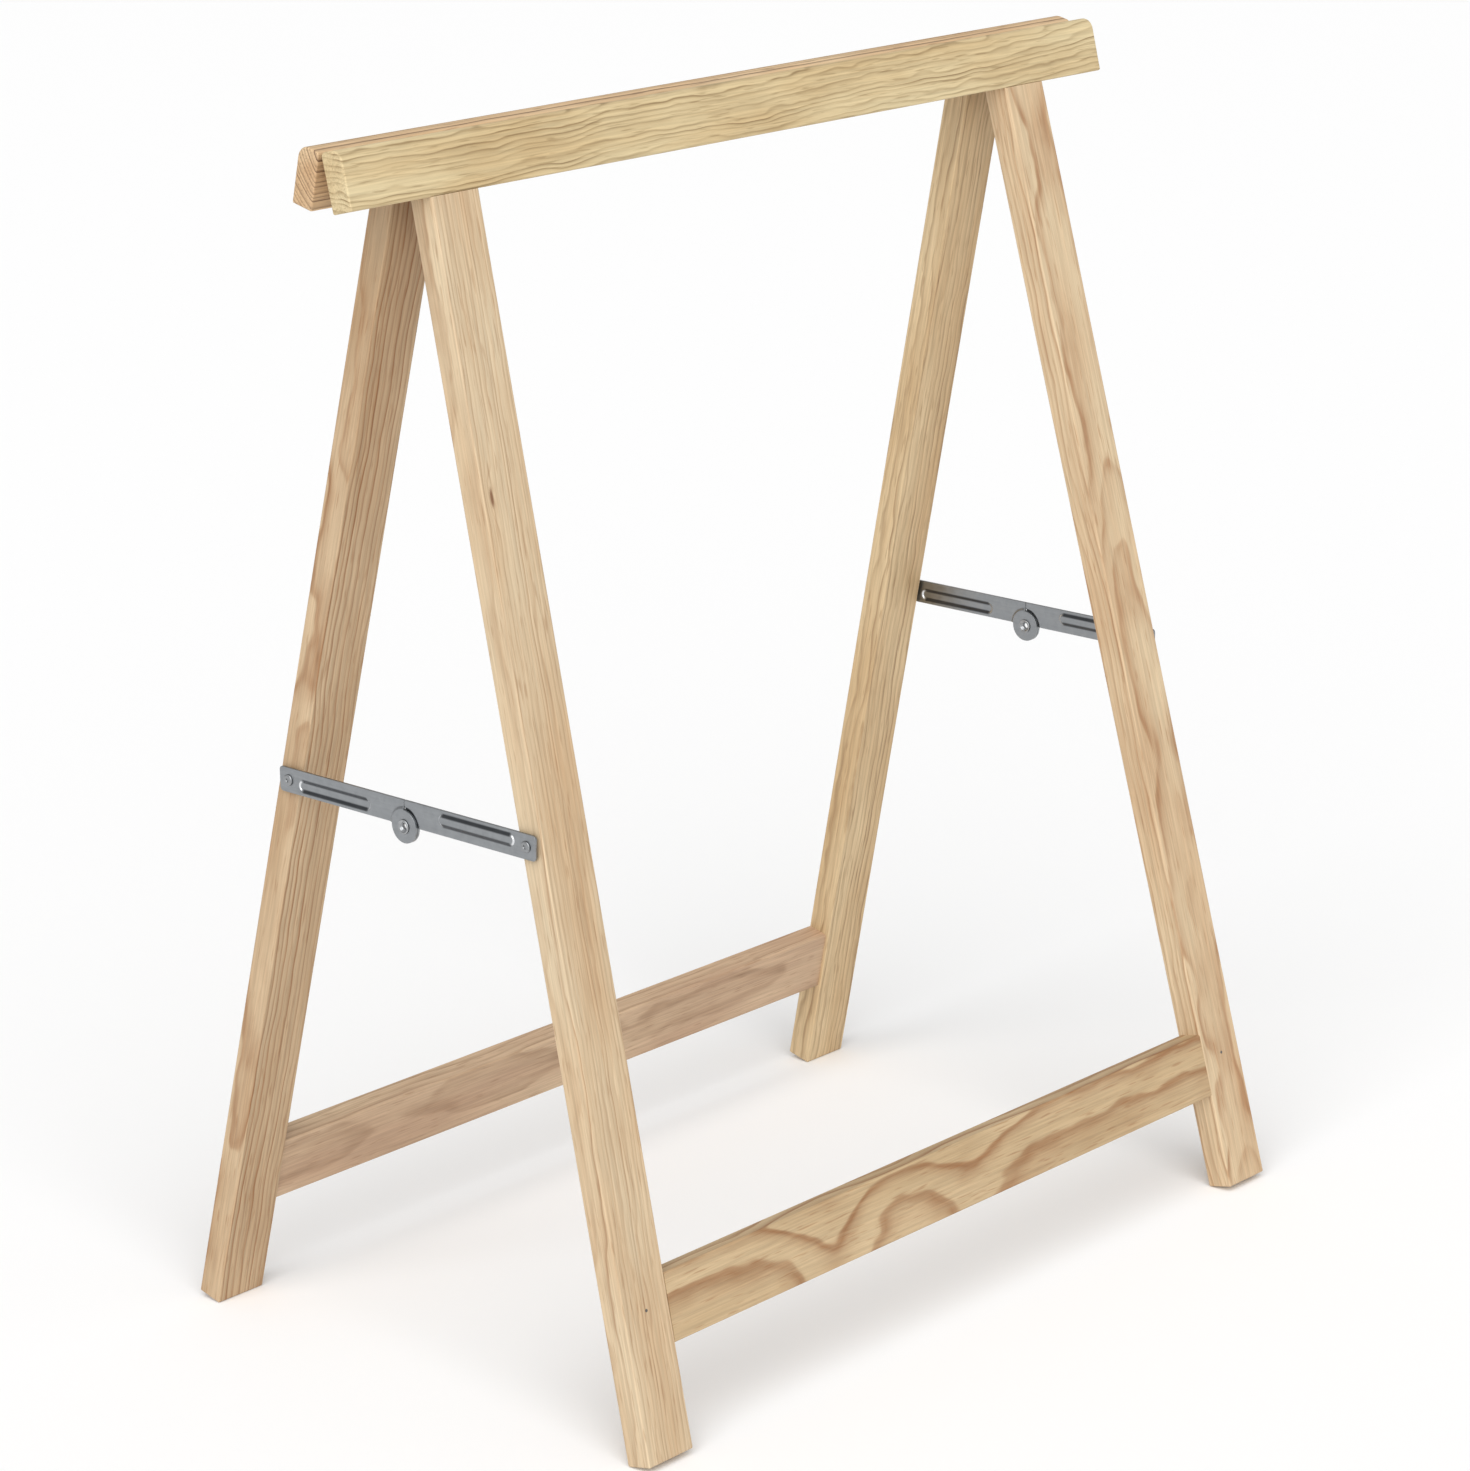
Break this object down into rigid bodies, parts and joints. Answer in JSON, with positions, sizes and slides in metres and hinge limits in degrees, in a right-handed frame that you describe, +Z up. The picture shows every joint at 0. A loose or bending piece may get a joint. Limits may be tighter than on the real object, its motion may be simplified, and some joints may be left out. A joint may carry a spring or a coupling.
{
  "type": "folding sawhorse",
  "caption": "Pine folding trestle: hinged A-shaped frames with twin top beams, low stretchers and folding steel stays at both ends.",
  "frame": {"origin": "on the floor below the middle of the beams, midway between the front and back feet", "axes": "+X along the beams, +Y from the front frame to the back frame, +Z up"},
  "size_m": [0.665, 0.3936, 0.7543],
  "materials": {
    "beam_pine": "planed, bare",
    "back_beam_pine": "planed, bare",
    "leg_pine": "planed, bare",
    "stretcher_pine": "planed, bare",
    "zinc_plate": "bright zinc plating",
    "hinge_steel": "zinc plating",
    "screw_zinc": "zinc plating",
    "bright_steel": "bare steel"
  },
  "bodies": {
    "front_frame": {"front_beam": "beam_pine", "front_leg_left": "leg_pine", "front_leg_right": "leg_pine", "front_stretcher": "stretcher_pine", "front_brads": "bright_steel", "front_hinge_leaf_left": "hinge_steel", "front_hinge_leaf_right": "hinge_steel", "hinge_pin_left": "hinge_steel", "hinge_pin_right": "hinge_steel", "front_hinge_screws_left": "screw_zinc", "front_hinge_screws_right": "screw_zinc", "front_screw_left": "screw_zinc", "front_spacer_left": "screw_zinc", "front_screw_right": "screw_zinc", "front_spacer_right": "screw_zinc"},
    "back_frame": {"back_beam": "back_beam_pine", "back_leg_left": "leg_pine", "back_leg_right": "leg_pine", "back_stretcher": "stretcher_pine", "back_brads": "bright_steel", "back_hinge_leaf_left": "hinge_steel", "back_hinge_leaf_right": "hinge_steel", "back_hinge_screws_left": "screw_zinc", "back_hinge_screws_right": "screw_zinc", "back_screw_thread_left": "screw_zinc", "back_screw_thread_right": "screw_zinc"},
    "front_link_left": {"front_link_left": "zinc_plate", "knee_rivet_left": "zinc_plate"},
    "back_link_left": {"back_link_left": "zinc_plate", "back_screw_left": "screw_zinc", "back_spacer_left": "screw_zinc"},
    "front_link_right": {"front_link_right": "zinc_plate", "knee_rivet_right": "zinc_plate"},
    "back_link_right": {"back_link_right": "zinc_plate", "back_screw_right": "screw_zinc", "back_spacer_right": "screw_zinc"}
  },
  "joints": [
    {"name": "fold", "type": "hinge", "parent": "front_frame", "child": "back_frame", "pos_m": [0, 0, 0.74164], "axis": [-1, 0, 0], "range_deg": [0, 27]},
    {"name": "front_link_pivot_left", "type": "hinge", "parent": "front_frame", "child": "front_link_left", "pos_m": [-0.28714, -0.10059, 0.35905], "axis": [1, 0, 0], "range_deg": [0, 76.45]},
    {"name": "knee_left", "type": "hinge", "parent": "front_link_left", "child": "back_link_left", "pos_m": [-0.28714, 0, 0.35065], "axis": [-1, 0, 0], "range_deg": [0, 179.9]},
    {"name": "front_link_pivot_right", "type": "hinge", "parent": "front_frame", "child": "front_link_right", "pos_m": [0.28714, -0.10059, 0.35905], "axis": [1, 0, 0], "range_deg": [0, 76.45]},
    {"name": "knee_right", "type": "hinge", "parent": "front_link_right", "child": "back_link_right", "pos_m": [0.28714, 0, 0.35065], "axis": [-1, 0, 0], "range_deg": [0, 179.9]}
  ],
  "couplings": [
    {"joint": "front_link_pivot_left", "follows": "fold", "ratio": 2.8312},
    {"joint": "knee_left", "follows": "fold", "ratio": 6.6624},
    {"joint": "front_link_pivot_right", "follows": "fold", "ratio": 2.8312},
    {"joint": "knee_right", "follows": "fold", "ratio": 6.6624}
  ]
}
